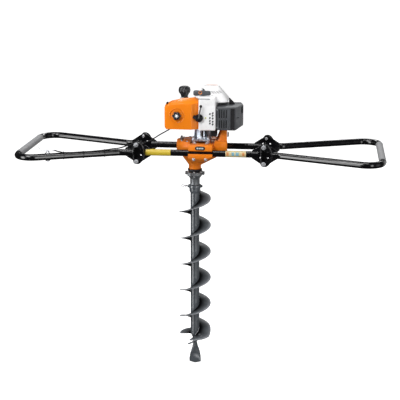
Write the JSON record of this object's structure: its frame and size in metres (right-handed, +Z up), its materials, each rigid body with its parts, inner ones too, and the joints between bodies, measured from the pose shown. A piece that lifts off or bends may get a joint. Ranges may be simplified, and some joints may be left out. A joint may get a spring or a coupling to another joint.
{
  "type": "two-operator earth auger",
  "caption": "Petrol earth auger for two operators: engine and gearbox on a twin-tube frame with folding loop handles, driving a helical drill bit with a fishtail point.",
  "frame": {"origin": "on the drilling axis, in the plane of the frame tubes", "axes": "+X along the frame to the right-hand operator, -Y the side with the air filter knob, +Z up the drilling axis"},
  "size_m": [1.506, 0.5214, 1.2175],
  "materials": {
    "black_paint": "gloss black paint",
    "orange_paint": "satin orange paint on castings",
    "orange_plastic": "semi-gloss",
    "white_plastic": "semi-gloss",
    "tank_plastic": "milky",
    "black_plastic": "fine grain",
    "rubber": "ribbed grip rubber",
    "cast_aluminium": "as cast",
    "steel": "machined",
    "bit_paint": "grey enamel",
    "zinc": "zinc plated",
    "filter_foam": "filter foam and braided rope"
  },
  "bodies": {
    "frame": {"frame_tube_front": "black_paint", "frame_tube_rear": "black_paint", "throttle_cable_frame": "black_plastic", "gearbox_cover": "orange_paint", "gearbox_housing": "orange_paint", "spindle_bearing": "steel", "spindle_seal": "black_plastic", "clutch_housing": "cast_aluminium", "crankcase": "cast_aluminium", "cylinder": "cast_aluminium", "spark_plug": "zinc", "engine_shroud": "white_plastic", "starter_cover": "white_plastic", "filter_cover": "orange_plastic", "cover_grommet": "black_plastic", "air_filter": "filter_foam", "carburettor": "cast_aluminium", "fuel_tank": "tank_plastic", "muffler_guard": "black_plastic", "muffler": "steel", "hinge_plate_left_front": "black_paint", "pivot_bolt_left_front": "zinc", "hinge_plate_left_rear": "black_paint", "pivot_bolt_left_rear": "zinc", "hinge_plate_right_front": "black_paint", "pivot_bolt_right_front": "zinc", "hinge_plate_right_rear": "black_paint", "pivot_bolt_right_rear": "zinc"},
    "left_handle": {"left_handle_tube": "black_paint", "left_grip_sleeve": "rubber", "hinge_cup_left_front": "black_paint", "hinge_cup_left_rear": "black_paint", "throttle_bracket": "zinc", "throttle_cable_handle": "black_plastic"},
    "right_handle": {"right_handle_tube": "black_paint", "right_grip_sleeve": "rubber", "hinge_cup_right_front": "black_paint", "hinge_cup_right_rear": "black_paint"},
    "throttle": {"throttle_lever": "zinc"},
    "input": {"input_shaft": "steel", "clutch_drum": "steel"},
    "lay": {"layshaft": "steel"},
    "spindle": {"output_gear": "steel", "output_spindle": "steel", "bit_shaft": "bit_paint", "bit_flight": "bit_paint", "counter_blade": "bit_paint", "cutting_blade": "bit_paint", "pilot_tip": "bit_paint"},
    "pin": {"coupling_pin": "zinc"},
    "crank": {"crankshaft": "steel", "clutch_hub": "steel", "flywheel": "cast_aluminium"},
    "pulley": {"starter_pulley": "black_plastic"},
    "grip": {"starter_grip": "black_plastic", "starter_rope": "filter_foam"},
    "choke": {"choke_lever": "black_plastic"},
    "knob": {"filter_knob": "black_plastic"},
    "cap": {"fuel_cap": "black_plastic"}
  },
  "joints": [
    {"name": "left_handle_fold", "type": "hinge", "parent": "frame", "child": "left_handle", "pos_m": [-0.23, 0, 0.035], "axis": [0, 1, 0], "range_deg": [0, 90]},
    {"name": "right_handle_fold", "type": "hinge", "parent": "frame", "child": "right_handle", "pos_m": [0.294, 0, 0.035], "axis": [0, -1, 0], "range_deg": [0, 90]},
    {"name": "throttle_squeeze", "type": "hinge", "parent": "left_handle", "child": "throttle", "pos_m": [-0.574, -0.22216, 0.024], "axis": [0.4013, -0.9159, 0], "range_deg": [0, 25], "stiffness_Nm_per_rad": 0.06, "springref_deg": -17.19},
    {"name": "spindle_spin", "type": "hinge", "parent": "frame", "child": "spindle", "pos_m": [0, 0, -0.1], "axis": [0, 0, 1], "continuous": true},
    {"name": "layshaft_spin", "type": "hinge", "parent": "frame", "child": "lay", "pos_m": [0.063, 0, 0], "axis": [0, 0, 1], "continuous": true},
    {"name": "input_spin", "type": "hinge", "parent": "frame", "child": "input", "pos_m": [0.03175, 0, 0.03], "axis": [0, 0, 1], "continuous": true},
    {"name": "coupling_pin_pull", "type": "slide", "parent": "spindle", "child": "pin", "axis": [-1, 0, 0], "range_m": [0, 0.07]},
    {"name": "crank_spin", "type": "hinge", "parent": "frame", "child": "crank", "pos_m": [0.03175, 0, 0.15], "axis": [0, 0, 1], "continuous": true},
    {"name": "starter_pull", "type": "slide", "parent": "frame", "child": "grip", "axis": [0, -1, 0], "range_m": [0, 0.6], "stiffness_N_per_m": 6, "springref_m": -0.5, "deforming": ["starter_rope"]},
    {"name": "starter_pulley_spin", "type": "hinge", "parent": "frame", "child": "pulley", "pos_m": [0.03175, 0, 0.218], "axis": [0, 0, 1], "continuous": true},
    {"name": "choke_turn", "type": "hinge", "parent": "frame", "child": "choke", "pos_m": [0.028, -0.096, 0.148], "axis": [0, 1, 0], "range_deg": [0, 75]},
    {"name": "filter_knob_turn", "type": "hinge", "parent": "frame", "child": "knob", "pos_m": [-0.062, -0.1078, 0.157], "axis": [0, -1, 0], "continuous": true},
    {"name": "fuel_cap_turn", "type": "hinge", "parent": "frame", "child": "cap", "pos_m": [-0.0455, 0.022, 0.24], "axis": [0, 0, 1], "continuous": true}
  ],
  "couplings": [
    {"joint": "layshaft_spin", "follows": "spindle_spin", "ratio": -4.6},
    {"joint": "input_spin", "follows": "spindle_spin", "ratio": 18.4},
    {"joint": "starter_pulley_spin", "follows": "starter_pull", "rad_per_m": -57.803}
  ]
}
